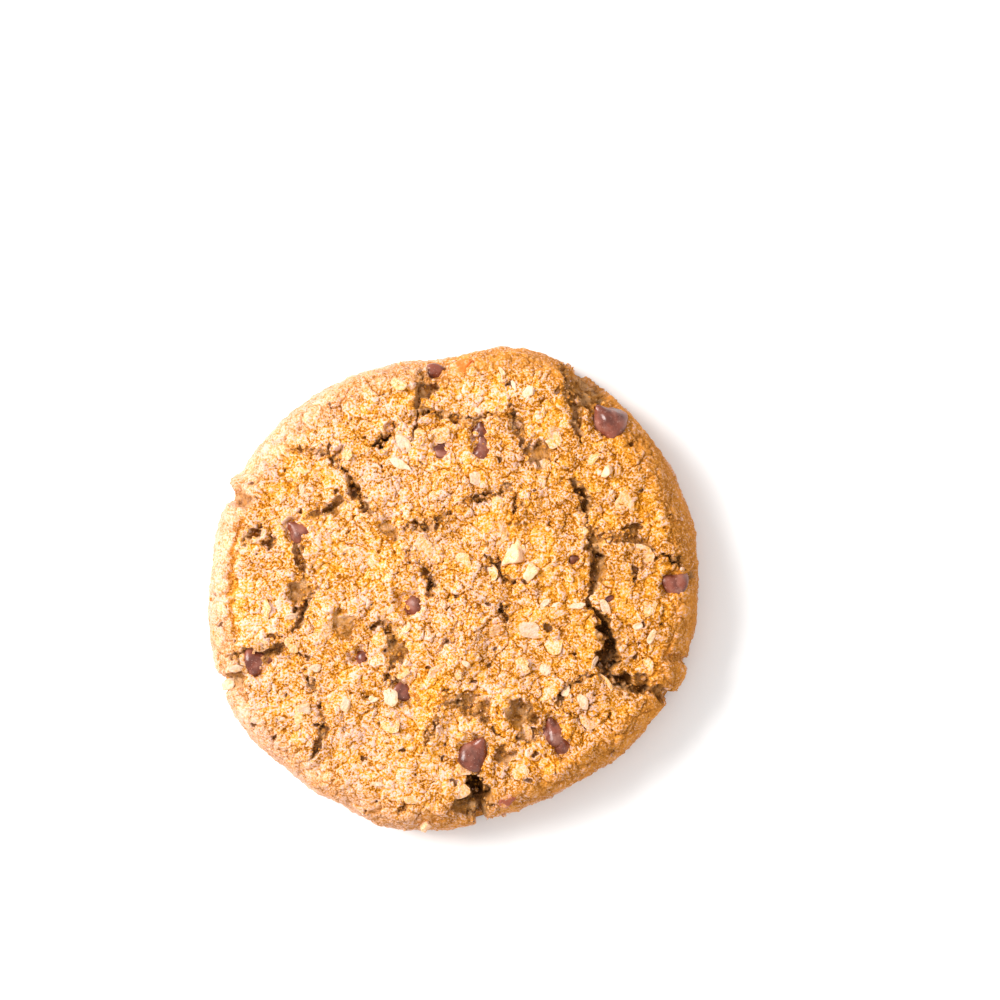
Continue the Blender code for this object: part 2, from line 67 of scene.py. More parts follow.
# Each crack runs through three points: its start, its middle and its end.
# (x, y), (x, y), (x, y), width, depth
CRACKS = (
    ((-5.8, 39.0), (-6.0, 32.9), (-7.0, 27.1), 1.4, 2.0),
    ((-5.3, 32.7), (0.2, 30.5), (8.1, 31.0), 1.0, 1.6),
    ((10.0, 32.4), (11.0, 29.4), (12.3, 24.7), 1.6, 2.0),
    ((-14.4, 25.7), (-11.6, 27.3), (-9.8, 30.1), 1.2, 3.0),
    ((-28.7, 24.5), (-23.5, 24.5), (-19.6, 22.9), 0.9, 1.3),
    ((-19.6, 22.9), (-17.2, 18.6), (-13.8, 13.3), 1.3, 2.5),
    ((-16.5, 16.6), (-21.7, 14.9), (-26.4, 12.4), 1.7, 1.9),
    ((-26.4, 10.5), (-27.0, 7.2), (-25.6, 2.8), 1.3, 2.1),
    ((-25.9, 2.6), (-26.3, -2.1), (-28.9, -8.2), 1.4, 2.5),
    ((-28.9, -8.2), (-33.1, -10.5), (-39.5, -10.9), 2.3, 3.0),
    ((-36.2, 8.9), (-34.7, 10.5), (-32.9, 12.1), 1.5, 2.5),
    ((-8.9, 12.3), (-4.2, 12.1), (0.2, 14.9), 0.9, 1.4),
    ((1.4, 15.6), (6.3, 17.2), (10.2, 19.1), 1.0, 1.7),
    ((-8.4, 7.5), (-7.5, 5.8), (-6.8, 4.0), 0.8, 1.4),
    ((-5.3, 5.4), (-4.2, 2.3), (-3.7, -0.5), 1.3, 2.8),
    ((9.5, 18.0), (10.9, 15.8), (10.3, 13.1), 1.0, 1.9),
    ((20.7, 19.8), (22.9, 15.4), (22.9, 11.9), 1.5, 2.4),
    ((22.9, 11.9), (25.0, 5.4), (23.6, -1.2), 2.1, 2.4),
    ((23.6, -1.2), (27.1, -7.9), (25.9, -14.5), 2.2, 5.0),
    ((23.5, 11.0), (27.0, 9.6), (31.0, 9.6), 1.3, 1.7),
    ((25.9, -14.2), (31.2, -15.6), (38.5, -18.4), 2.0, 3.5),
    ((25.6, -14.2), (20.7, -15.6), (17.9, -20.8), 1.2, 2.0),
    ((31.2, 1.0), (32.6, 4.9), (36.1, 7.0), 1.1, 2.3),
    ((36.1, 7.0), (38.9, 5.4), (42.0, 3.0), 1.1, 2.2),
    ((-2.5, -19.6), (2.1, -19.1), (6.3, -22.6), 1.9, 1.4),
    ((-15.1, -6.0), (-11.0, -6.8), (-11.7, -14.2), 1.6, 2.3),
    ((-11.7, -14.2), (-10.0, -15.9), (-7.4, -19.4), 1.6, 2.3),
    ((-26.1, -13.5), (-24.5, -15.6), (-24.7, -18.2), 0.9, 1.5),
    ((-23.8, -19.3), (-22.6, -23.3), (-25.0, -28.7), 1.2, 2.5),
    ((2.5, -31.0), (4.2, -34.1), (5.3, -40.5), 3.0, 5.5),
    ((-3.2, -20.8), (-3.7, -23.6), (-5.8, -28.0), 0.7, 1.1),
    ((0.7, -4.7), (-0.7, -7.9), (-2.8, -10.3), 0.7, 1.0),
    ((7.7, -0.9), (8.8, -3.5), (8.8, -6.5), 0.9, 1.8),
    ((18.9, 40.5), (21.0, 33.8), (22.0, 26.8), 1.9, 2.3),
    ((5.2, 6.5), (8.0, 3.3), (11.6, 1.8), 0.9, 1.9),
    ((-9.1, -35.9), (-8.8, -37.3), (-9.1, -38.3), 0.8, 1.2),
)
ROUTE_POINTS = 15

# The crease along the top of the left flank, where the top has spread over it as it baked
CREASE = ((-37.0, 12.5), (-38.7, 3.0), (-37.8, -7.0))
CREASE_WIDTH = 0.5
CREASE_DEPTH = 0.8

# Places where the crust has come away and the rough crumb shows: x, y, radius, depth
HOLLOWS = (
    (-4.6, 35.5, 1.9, 2.0),
    (15.0, 24.2, 2.7, 1.2),
    (-20.5, 24.2, 1.6, 1.0),
    (23.8, 35.6, 3.6, 2.2),
    (-10.9, 11.0, 1.8, 0.8),
    (-26.4, 0.2, 2.3, 1.2),
    (30.8, 9.8, 1.7, 1.5),
    (-10.3, -10.0, 2.3, 1.2),
    (-19.1, -5.1, 2.7, 1.0),
    (3.7, -19.6, 2.5, 1.4),
    (11.6, -20.8, 2.7, 1.4),
    (13.0, -24.9, 1.9, 1.5),
    (8.6, -27.8, 1.7, 1.5),
    (1.9, -37.6, 2.3, 2.0),
    (7.5, 4.7, 1.3, 1.8),
    (33.4, 7.9, 1.6, 1.0),
    (-31.9, 8.8, 1.1, 1.4),
    (-35.7, -11.7, 2.3, 1.8),
    (32.6, -15.6, 2.1, 2.0),
    (26.6, -11.6, 1.9, 4.8),
)

# How deep cracks and hollows can get at the rim, and how much deeper further in
DEEPEST_AT_RIM = 3.0
DEEPER_INSIDE = 10.0

# Their edges break in blocks of this size. Each point is read this share of the way to its block's middle.
BLOCK_SIZE = 1.15
BLOCK_SHARE = 0.7

# Rounds of averaging over neighbours that make a point's close and its wider surroundings
NEAR_ROUNDS = 10
BROAD_ROUNDS = 150

# Bits of the rim that have crumbled away: angle in degrees, width along the rim, depth
RIM_NOTCHES = (
    (156.0, 3.2, 1.6),
    (-158.5, 3.6, 1.9),
    (-25.5, 2.6, 1.6),
    (-83.0, 2.6, 2.2),
    (60.5, 3.0, 1.3),
    (-16.5, 1.8, 0.9),
)

# Dough-covered nuts that swell the top: x, y, length, width, height, turn in degrees
SWELLS = (
    (-4.9, -24.0, 7.5, 3.4, 0.9, 72.0),
    (1.4, -10.9, 13.0, 5.5, 1.0, 50.0),
    (-30.0, 2.0, 8.0, 6.0, 0.5, 80.0),
    (4.5, 0.5, 11.0, 8.0, 0.8, 95.0),
    (38.6, -13.6, 5.0, 4.5, 0.9, 70.0),
    (-38.6, 18.8, 4.5, 4.0, 1.1, 60.0),
    (11.8, 5.2, 8.0, 6.0, 0.5, -40.0),
    (28.5, 4.5, 6.0, 5.0, 0.7, 70.0),
    (16.5, 34.0, 9.0, 7.0, 0.5, 10.0),
    (34.0, -6.0, 10.0, 7.0, 0.5, 80.0),
)

# Chocolate chips: x, y, base radius, way the tip points, how far it leans over, height above the crust
CHIPS = (
    (26.6, 30.3, 3.3, 125.0, 55.0, 1.0),
    (4.9, 25.6, 2.7, 84.0, 72.0, 0.0),
    (4.6, 28.7, 1.4, 90.0, 70.0, -0.1),
    (-2.1, 25.4, 2.0, 75.0, 74.0, -0.15),
    (-27.5, 11.2, 2.4, 140.0, 60.0, -0.1),
    (-33.6, -11.6, 2.9, 10.0, 70.0, -0.2),
    (-16.8, -11.0, 2.0, 160.0, 85.0, -0.5),
    (-8.8, -17.5, 2.3, -45.0, 80.0, -0.1),
    (-7.9, -1.8, 2.6, 160.0, 80.0, -0.3),
    (3.7, -27.3, 3.3, 60.0, 60.0, 0.3),
    (17.2, -23.8, 2.7, 100.0, 60.0, 0.1),
    (19.4, -27.3, 2.2, -60.0, 75.0, 0.0),
    (38.0, 1.9, 2.6, 150.0, 65.0, 0.0),
    (-3.0, 38.8, 1.7, 20.0, 70.0, -0.5),
    (27.0, -0.9, 1.1, 20.0, 70.0, -0.3),
    (-11.0, 28.6, 1.3, 60.0, 80.0, -0.9),
    (21.0, 6.1, 1.0, 0.0, 80.0, -0.3),
)
CHIP_HEIGHT = 1.75  # in base radii
SOCKET_DEPTH = 1.3

# Nut pieces: x, y, length, width, thickness, turn in degrees, height above the crust, tint
NUTS = (
    (1.1, 39.4, 6.2, 3.0, 2.8, 5.0, 0.6, "amber"),
    (8.9, -35.9, 4.0, 2.8, 2.6, -20.0, 0.2, "skin"),
    (10.4, 6.6, 4.8, 3.6, 3.0, 10.0, 0.4, "pale"),
    (13.4, 3.7, 3.6, 3.0, 2.6, -15.0, 0.4, "pale"),
    (-5.1, -40.6, 2.8, 2.5, 2.4, 0.0, 0.3, "pale"),
    (26.6, 21.0, 2.6, 2.2, 2.0, 30.0, 0.4, "pale"),
)
NUT_TINTS = {"amber": 0.0, "skin": 0.5, "pale": 1.0}

# Pale oat flakes: x, y, length, width, turn in degrees
FLAKES = (
    (13.7, -6.3, 4.8, 3.2, 15.0),
    (-11.0, -18.0, 3.5, 2.8, 80.0),
    (-25.9, -20.1, 3.8, 2.6, 70.0),
    (22.4, -18.7, 3.0, 2.0, -60.0),
    (-28.4, -3.7, 2.3, 1.4, -20.0),
    (-39.0, -16.4, 2.8, 2.4, 0.0),
    (34.5, -7.4, 3.0, 1.2, -65.0),
    (26.4, -2.5, 3.8, 1.5, -55.0),
    (24.2, -12.1, 2.9, 1.0, -50.0),
    (15.9, -1.6, 2.3, 1.1, 30.0),
    (21.5, -2.1, 2.8, 1.3, 30.0),
    (32.0, -5.6, 1.9, 1.2, 30.0),
    (4.2, 31.7, 1.5, 1.0, 10.0),
    (15.9, -13.1, 2.3, 1.9, 40.0),
    (27.3, 17.7, 1.1, 0.8, 0.0),
    (8.4, 38.5, 2.0, 0.8, -70.0),
    (10.5, 36.2, 2.0, 0.8, 80.0),
    (13.0, 35.0, 2.6, 1.8, -30.0),
    (-9.3, 22.6, 4.4, 1.6, 40.0),
    (-8.8, 26.1, 3.6, 2.4, 30.0),
    (-26.4, 18.0, 2.2, 1.2, 80.0),
    (19.8, -17.2, 2.6, 1.6, 30.0),
    (2.1, -12.1, 1.7, 1.0, 0.0),
    (3.9, 19.8, 3.2, 2.2, 100.0),
    (-38.0, -12.9, 2.6, 1.5, -10.0),
    (-13.3, -33.1, 2.6, 0.8, 60.0),
    (-18.9, -19.1, 2.7, 1.8, 20.0),
    (-13.8, -18.3, 2.2, 1.5, 0.0),
    (-24.3, -13.1, 2.4, 1.6, 90.0),
)
FLAKE_THICKNESS = 0.35

# Small things spread at random: how many, and how far from the middle
TOASTED_FLAKES = 60
TOASTED_REACH = 38.0
EMBOSSED_FLAKES = 380
EMBOSSED_REACH = 40.0
PORES = 150
PORE_REACH = 42.0
SMALL_CRUMBS = 2000
SMALL_CRUMB_RADII = (0.22, 0.42)
LARGE_CRUMBS = 260
LARGE_CRUMB_RADII = (0.45, 0.8)
CRUMB_REACH = 43.0
CRUMBS_IN_CRACKS = 0.65  # share of them
SEED = 23


# Shape of the dough

def smooth_step(low, high, value):
    """0 at low, 1 at high and smooth in between. It falls with the value where low is over high."""
    share = np.clip((value - low) / (high - low), 0.0, 1.0)
    return share * share * (3.0 - 2.0 * share)


def rim_radius(angle):
    """The rim's radius at each angle in radians, on one smooth curve through RIM_RADII."""
    known = np.array(RIM_RADII)
    place = (angle / (2.0 * math.pi) * len(known)) % len(known)
    at = np.floor(place).astype(int)
    t = place - at
    a, b, c, d = (known[(at + step) % len(known)] for step in (-1, 0, 1, 2))
    curve = 2 * b + (c - a) * t + (2 * a - 5 * b + 4 * c - d) * t**2
    return 0.5 * (curve + (3 * b - a - 3 * c + d) * t**3)


def rim_inset(x, y):
    """How far in from the rim each plan point lies."""
    return rim_radius(np.arctan2(y, x)) - np.hypot(x, y)


def noise_field(points, size, offset, octaves=3):
    """Noise from about -1 to 1 at each point, with features size millimetres wide. Each offset is
    another pattern."""
    shift = Vector((offset, 1.7 * offset, 0.6 * offset))
    return np.array([noise.fractal(Vector(p) / size + shift, 0.8, 2.0, octaves) for p in points])


def cell_field(points, size, offset):
    """A random cell pattern: distance to the cell's middle, width of the seam, height of a tilted plate."""
    shift = Vector((offset, 0.4 * offset, 1.3 * offset))
    near, seam, plate = [], [], []
    for p in points:
        place = Vector(p) / size + shift
        distances, middles = noise.voronoi(place)
        lean = noise.noise_vector(3.1 * middles[0])
        near.append(distances[0])
        seam.append(distances[1] - distances[0])
        plate.append(noise.noise(7.3 * middles[0]) + (place - middles[0]).dot(lean))
    return np.array(near), np.array(seam), np.array(plate)


def in_blocks(points):
    """Points moved towards the middle of their block, so that what is read there has blocky edges."""
    shift = Vector((13.0, 5.2, 16.9))
    places = []
    for p in points:
        place = Vector(p) / BLOCK_SIZE + shift
        middle = noise.voronoi(place)[1][0]
        places.append(Vector(p) + BLOCK_SHARE * BLOCK_SIZE * (middle - place))
    return np.array(places)


def square_to_disc(u, v):
    """Spreads a square grid from -1 to 1 over the unit disc, with cells of equal area."""
    wide = np.abs(u) > np.abs(v)
    with np.errstate(divide="ignore", invalid="ignore"):
        angle = np.where(wide, math.pi / 4 * v / u, math.pi / 2 - math.pi / 4 * u / v)
    radius = np.where(wide, u, v)
    angle = np.where(radius == 0, 0.0, angle)
    return radius * np.cos(angle), radius * np.sin(angle)


def shoulder_ring(share):
    """(inset from the rim, height) on the rounded shoulder, from the top to the widest ring."""
    turn = math.pi / 2 * (1.0 - share)
    inset = SHOULDER_RUN * (1.0 - max(math.cos(turn), 0.0) ** SHOULDER_POWER)
    rise = max(math.sin(turn), 0.0) ** SHOULDER_POWER
    return inset, WIDEST_HEIGHT + (SHOULDER_HEIGHT - WIDEST_HEIGHT) * rise


def tuck_ring(share):
    """(inset from the rim, height) where the sides turn in under the widest ring, down to the base."""
    height = WIDEST_HEIGHT * (1.0 - share)
    turn = math.pi / 2 * (WIDEST_HEIGHT - height) / (WIDEST_HEIGHT + SKIRT)
    return BASE_TUCK * (1.0 - math.cos(turn)), height


def dough_surface():
    """Points and faces of the plain dough: a crowned top, rounded shoulder and flanks, and a flat base."""
    count = TOP_CELLS + 1
    line = np.linspace(-1.0, 1.0, count)
    u, v = (g.ravel() for g in np.meshgrid(line, line, indexing="ij"))
    x, y = square_to_disc(u, v)
    share, angle = np.hypot(x, y), np.arctan2(y, x)
    reach = rim_radius(angle) - SHOULDER_RUN
    height = SHOULDER_HEIGHT + (CENTRE_HEIGHT - SHOULDER_HEIGHT) * (1.0 - share**2.2)
    points = [np.stack([x * reach, y * reach, height], axis=1)]

    index = np.arange(count * count).reshape(count, count)
    quads = np.stack([index[:-1, :-1], index[1:, :-1], index[1:, 1:], index[:-1, 1:]], axis=-1)
    faces = [tuple(q) for q in quads.reshape(-1, 4).tolist()]
    loop = [*index[:-1, 0], *index[-1, :-1], *index[:0:-1, -1], *index[0, :0:-1]]

    rim_angle = angle[loop]
    rim = rim_radius(rim_angle)
    rings = [shoulder_ring(k / FLANK_RINGS) for k in range(1, FLANK_RINGS + 1)]
    rings += [tuck_ring(k / TUCK_RINGS) for k in range(1, TUCK_RINGS + 1)]
    above = [int(i) for i in loop]
    for inset, z in rings:
        first = count * count + (len(points) - 1) * len(loop)
        radius = rim - inset
        ring = [radius * np.cos(rim_angle), radius * np.sin(rim_angle), np.full(len(loop), z)]
        points.append(np.stack(ring, axis=1))
        below = list(range(first, first + len(loop)))
        for k in range(len(loop)):
            after = (k + 1) % len(loop)
            faces.append((above[k], below[k], below[after], above[after]))
        above = below
    faces.append(tuple(reversed(above)))
    return np.concatenate(points), faces


# Relief of the crust

def quadratic(start, middle, end):
    """Points on one smooth curve through three given ones."""
    t = np.linspace(0.0, 1.0, ROUTE_POINTS)[:, None]
    a, b, c = (np.array(p) for p in (start, middle, end))
    return a * (1 - t) * (1 - 2 * t) + b * 4 * t * (1 - t) + c * t * (2 * t - 1)


def nearest_on(route, x, y):
    """(distance from a route, share of the way along it) of each plan point."""
    best = np.full(len(x), 1e9)
    along = np.zeros(len(x))
    for k in range(len(route) - 1):
        (ax, ay), (bx, by) = route[k], route[k + 1]
        dx, dy = bx - ax, by - ay
        t = np.clip(((x - ax) * dx + (y - ay) * dy) / (dx * dx + dy * dy), 0.0, 1.0)
        away = np.hypot(x - ax - t * dx, y - ay - t * dy)
        nearer = away < best
        best = np.where(nearer, away, best)
        along = np.where(nearer, (k + t) / (len(route) - 1), along)
    return best, along


def crack_relief(x, y, uneven):
    """(depth of the cracks, rise of the crust's curled edges beside them) at each plan point."""
    depth, lip = np.zeros(len(x)), np.zeros(len(x))
    for start, middle, end, width, deep in CRACKS:
        away, along = nearest_on(quadratic(start, middle, end), x, y)
        taper = 0.45 + 0.55 * np.sin(math.pi * np.clip(along, 0.0, 1.0))
        half = width / 2 * taper * uneven
        cleft = 0.95 * deep * taper * uneven * (1.0 - smooth_step(0.1, 1.3, away / half))
        shallow_sides = 0.55 * taper * (1.0 - smooth_step(0.9, 2.4, away / half))
        depth = np.maximum(depth, np.maximum(cleft, shallow_sides))
        lip = np.maximum(lip, 0.25 * np.exp(-(((away - 1.5 * half) / 0.9) ** 2)))
    return depth, lip


def round_relief(x, y, places):
    """Depth of round hollows given as x, y, radius, depth."""
    depth = np.zeros(len(x))
    for cx, cy, radius, deep in places:
        away = np.hypot(x - cx, y - cy) / radius
        depth = np.maximum(depth, deep * (1.0 - smooth_step(0.6, 1.15, away)))
    return depth


def notch_relief(x, y):
    """Depth of the places where the rim has crumbled away."""
    depth = np.zeros(len(x))
    angle, radius = np.arctan2(y, x), np.hypot(x, y)
    near_rim = smooth_step(SHOULDER_RUN, SHOULDER_RUN / 2, rim_inset(x, y))
    for degrees, width, deep in RIM_NOTCHES:
        turn = np.angle(np.exp(1j * (angle - math.radians(degrees))))
        away = np.abs(turn) * radius / (width / 2)
        depth = np.maximum(depth, deep * near_rim * (1.0 - smooth_step(0.5, 1.2, away)))
    return depth


def swell_relief(x, y):
    """Rise of the dough over what lies under it."""
    rise = np.zeros(len(x))
    for cx, cy, length, width, high, degrees in SWELLS:
        along, across = turned(x - cx, y - cy, degrees)
        away = (2 * along / length) ** 2 + (2 * across / width) ** 2
        rise += high * np.exp(-1.2 * away**1.5)
    return rise


def turned(x, y, degrees):
    """Plan offsets along and across a direction."""
    c, s = math.cos(math.radians(degrees)), math.sin(math.radians(degrees))
    return x * c + y * s, y * c - x * s


def embossed_relief(x, y, rng):
    """Oat flakes just under the crust: slightly tilted ovals, each with one crisp raised edge."""
    rise = np.zeros(len(x))
    for _ in range(EMBOSSED_FLAKES):
        cx, cy = spot_on_top(rng, EMBOSSED_REACH)
        length, width = rng.uniform(2.6, 5.2), rng.uniform(1.8, 3.4)
        along, across = turned(x - cx, y - cy, rng.uniform(0.0, 360.0))
        away = np.sqrt((2 * along / length) ** 2 + (2 * across / width) ** 2)
        near = away < 1.4
        tilt = np.clip(0.5 + along[near] / length, 0.0, 1.0)
        high = rng.uniform(0.13, 0.38)
        plate = high * tilt * (1.0 - smooth_step(0.93, 1.03, away[near]))
        groove = 0.6 * high * tilt * np.exp(-(((away[near] - 1.1) / 0.07) ** 2))
        rise[near] = np.where(away[near] < 1.03, np.maximum(rise[near], plate), rise[near] - groove)
    return rise


def spot_on_top(rng, reach):
    """A random plan point within reach of the middle."""
    angle = rng.uniform(0.0, 2.0 * math.pi)
    radius = reach * math.sqrt(rng.random())
    return radius * math.cos(angle), radius * math.sin(angle)


def pore_relief(x, y, rng):
    """Small bubbles that broke through the crust while it baked."""
    tree = kdtree.KDTree(PORES)
    sizes = []
    for k in range(PORES):
        tree.insert((*spot_on_top(rng, PORE_REACH), 0.0), k)
        sizes.append(rng.uniform(0.2, 0.55))
    tree.balance()
    depth = np.zeros(len(x))
    for k, place in enumerate(zip(x, y)):
        _, which, away = tree.find((*place, 0.0))
        reach = 1.2 * sizes[which]
        if away < reach:
            depth[k] = sizes[which] * 1.4 * (1.0 - (away / reach) ** 2)
    return depth


def neighbour_mean(values, edges, rounds):
    """Values averaged over their neighbours along the mesh's edges, again and again."""
    count = np.bincount(edges.ravel(), minlength=len(values))
    for _ in range(rounds):
        total = np.bincount(edges[:, 0], weights=values[edges[:, 1]], minlength=len(values))
        total += np.bincount(edges[:, 1], weights=values[edges[:, 0]], minlength=len(values))
        values = 0.5 * values + 0.5 * total / count
    return values


def frayed_places(points):
    """Plan places for reading cracks and hollows, so that their edges wander and fray. Returns them
    plain, in blocks, and the two shifts in x and y that they hold."""
    wander = [0.75 * noise_field(points, 2.6, offset) for offset in (11.0, 47.0)]
    ragged = [0.45 * noise_field(points, 1.2, offset) for offset in (5.0, 71.0)]
    blocks = in_blocks(points)
    frayed = [points[:, k] + wander[k] + ragged[k] for k in (0, 1)]
    blocky = [blocks[:, k] + wander[k] + 0.5 * ragged[k] for k in (0, 1)]
    return frayed, blocky, wander, ragged


def missing_dough(points, frayed, blocky, wander):
    """Where the crust is open: (depth of cracks, hollows and chip sockets, how broken it looks,
    depth of the rim's notches, rise of the cracks' lips)."""
    uneven = np.clip(1.0 + 0.5 * noise_field(points, 3.4, 31.0, 2), 0.7, 1.4)
    cracks, lip = crack_relief(*blocky, uneven)
    hollows = round_relief(blocky[0] + wander[1], blocky[1] - wander[0], HOLLOWS) * uneven
    sockets = round_relief(*frayed, [(x, y, 0.95 * radius, SOCKET_DEPTH) for x, y, radius, *_ in CHIPS])
    notches = notch_relief(*frayed)
    broken = np.maximum(cracks, np.maximum(0.6 * hollows, 0.35 * notches))
    depth = np.maximum(np.maximum(cracks, hollows), sockets)
    near_rim = smooth_step(SHOULDER_RUN, 0.5 * SHOULDER_RUN, rim_inset(*frayed))
    depth = np.minimum(depth, DEEPEST_AT_RIM + (1.0 - near_rim) * DEEPER_INSIDE)
    return depth, broken, notches, lip


def crust_relief(points, frayed, wander, ragged, top, inside, rng):
    """(fine relief of the crust, rough crumb for the inside of cracks). The crust has flakes under
    it, grains, tilted plates with gaps and fine cracks between them, and folds on the flank."""
    fine = 0.3 + 0.7 * smooth_step(-0.25, 0.35, noise_field(points, 8.0, 91.0, 2))
    warped = points + 0.9 * np.stack([wander[0], wander[1], ragged[0]], axis=1)
    lump, gap, plate = cell_field(warped, 3.2, 21.0)
    grain, _, small_plate = cell_field(points + 0.4 * ragged[0][:, None], 1.2, 2.0)
    plates = 0.28 * plate + 0.18 * small_plate * fine - 0.25 * (1.0 - smooth_step(0.0, 0.1, gap))
    crumb = 0.15 * noise_field(points, 0.8, 83.0) + 0.12 * (0.5 - grain) + 0.2 * (0.45 - lump)
    _, seam, _ = cell_field(warped, 6.5, 9.0)
    cracked = smooth_step(-0.2, 0.3, noise_field(points, 14.0, 55.0, 1))
    crackle = 0.35 * (1.0 - smooth_step(0.0, 0.05, seam)) * cracked
    folds = 0.55 * noise_field(points * np.array([0.3, 0.3, 1.0]), 1.9, 63.0)
    above_foot = smooth_step(0.0, 0.8, points[:, 2])

    crust = top * embossed_relief(*frayed, rng) * (1.0 - inside)
    crust += (fine * crumb + plates - crackle) * top * (1.0 - inside)
    crust += (1.2 * crumb + 0.3 * plates + folds) * (1.0 - top) * above_foot
    rough = 0.4 * noise_field(points, 1.7, 17.0) + 0.5 * (0.5 - grain) + 0.4 * small_plate
    return crust, rough


def dough_relief(points, rng):
    """What baking did to the plain dough at each point, in millimetres: move, along the normal;
    crust, the fine relief alone; crack and pore, how deep; and crease, which is a share."""
    frayed, blocky, wander, ragged = frayed_places(points)
    depth, broken, notches, lip = missing_dough(points, frayed, blocky, wander)
    top = smooth_step(6.0, 13.0, points[:, 2])
    inside = smooth_step(0.3, 1.2, depth)
    pores = pore_relief(*frayed, rng) * top
    crust, rough = crust_relief(points, frayed, wander, ragged, top, inside, rng)
    crags = 0.9 * noise_field(points, 8.5, 3.0, 2) + 0.24 * noise_field(points, 2.4, 29.0, 2)
    crease = np.exp(-((nearest_on(quadratic(*CREASE), *frayed)[0] / CREASE_WIDTH) ** 2))
    above_base = smooth_step(0.5, 8.0, points[:, 2])
    carved = np.maximum((depth + np.minimum(pores, 0.7)) * above_base, notches)

    move = (0.4 + 0.6 * top) * crags + lip * top + swell_relief(*frayed)
    move += crust + rough * inside - np.maximum(carved, CREASE_DEPTH * crease)
    move *= smooth_step(0.0, 0.8, points[:, 2])
    return {"move": move, "crust": crust, "crack": broken * above_base, "pore": pores, "crease": crease}


# Material nodes

class Value:
    """A socket of a material. An expression on values adds its Math nodes."""

    def __init__(self, finish, socket):
        self.finish = finish
        self.socket = socket

    def math(self, operation, *values):
        return self.finish.node("ShaderNodeMath", {"operation": operation}, dict(enumerate(values)))

    def __add__(self, other):
        return self.math("ADD", self, other)

    def __sub__(self, other):
        return self.math("SUBTRACT", self, other)

    def __rsub__(self, other):
        return self.math("SUBTRACT", other, self)

    def __mul__(self, other):
        return self.math("MULTIPLY", self, other)

    def __lt__(self, other):
        return self.math("LESS_THAN", self, other)

    __radd__ = __add__
    __rmul__ = __mul__

    def absolute(self):
        return self.math("ABSOLUTE", self)

    def between(self, low, high):
        """0 at low or under, 1 at high or over, and smooth in between."""
        settings = {"interpolation_type": "SMOOTHSTEP"}
        return self.finish.node("ShaderNodeMapRange", settings, {"Value": self, 1: low, 2: high})


class Finish:
    """A material under construction, with one Principled shader."""

    def __init__(self, name):
        self.material = bpy.data.materials.new(name)
        self.material.use_nodes = True
        self.tree = self.material.node_tree
        self.shader = self.tree.nodes["Principled BSDF"]
        self.place = self.node("ShaderNodeTexCoord", {}, {}, "Object")

    def node(self, kind, settings, values, output=0):
        """Adds a node, makes its settings, feeds its sockets, and returns one of its outputs."""
        made = self.tree.nodes.new(kind)
        for name, setting in settings.items():
            if name == "stops":
                self.set_stops(made.color_ramp, setting)
            else:
                setattr(made, name, setting)
        for name, value in values.items():
            self.feed(made.inputs[name], value)
        return Value(self, made.outputs[output])

    def set_stops(self, ramp, stops):
        while len(ramp.elements) < len(stops):
            ramp.elements.new(1.0)
        for element, (position, colour) in zip(ramp.elements, stops):
            element.position = position
            element.color = (*colour, 1.0)

    def feed(self, socket, value):
        if isinstance(value, Value):
            self.tree.links.new(value.socket, socket)
        elif isinstance(value, tuple) and len(value) == 3 and socket.type == "RGBA":
            socket.default_value = (*value, 1.0)
        else:
            socket.default_value = value

    def noise(self, size, detail=2.0, roughness=0.5):
        """Noise about 0.5 with features size millimetres wide."""
        values = {
            "Vector": self.place,
            "Scale": 1.0 / (size * MM),
            "Detail": detail,
            "Roughness": roughness,
        }
        return self.node("ShaderNodeTexNoise", {}, values)

    def cells(self, size):
        """Distance to the nearest of many random points size millimetres apart."""
        return self.node("ShaderNodeTexVoronoi", {}, {"Vector": self.place, "Scale": 1.0 / (size * MM)})

    def attribute(self, name):
        return self.node("ShaderNodeAttribute", {"attribute_name": name}, {}, "Fac")

    def mix(self, share, first, second):
        return self.node("ShaderNodeMix", {"data_type": "RGBA"}, {0: share, 6: first, 7: second}, 2)

    def bump(self, height, distance):
        """A normal for a surface that is raised by height, distance millimetres high."""
        return self.node("ShaderNodeBump", {}, {"Height": height, "Distance": distance * MM})

    def set(self, **sockets):
        for name, value in sockets.items():
            self.feed(self.shader.inputs[name.replace("_", " ")], value)


# Finishes, with linear colours

CREAM = (0.83, 0.52, 0.42)
PEACH = (0.81, 0.44, 0.26)
GOLD = (0.80, 0.39, 0.08)
AMBER = (0.76, 0.27, 0.006)
TOAST = (0.33, 0.098, 0.004)
FLANK_PALE = (0.78, 0.46, 0.33)
FLANK_DARK = (0.58, 0.22, 0.04)
# Near-black painted shade for the pores.
PORE_SHADE = (0.11, 0.035, 0.006)
CRUMB = (0.40, 0.165, 0.034)
CRUMB_PALE = (0.56, 0.31, 0.14)
# Dark moist crumb; also the painted shade in the crust's deepest hollows and deep cracks.
DARK_CRUMB_AND_SHADE = (0.10, 0.031, 0.005)
SPECK = (0.03, 0.04, 0.07)
SPECK_SPACING = 8.0  # millimetres
SPECK_RADIUS = 0.022  # in spacings
CHOCOLATE_DARK = (0.09, 0.018, 0.008)
CHOCOLATE_LIGHT = (0.20, 0.046, 0.022)
CHOCOLATE_BLOOM = (0.40, 0.18, 0.13)
OAT_PALE = (0.78, 0.54, 0.40)
OAT_GOLDEN = (0.72, 0.40, 0.17)
OAT_TOASTED = (0.80, 0.46, 0.22)
NUT_AMBER = (0.76, 0.15, 0.004)
NUT_SKIN = (0.30, 0.06, 0.02)
NUT_PALE = (0.82, 0.50, 0.29)


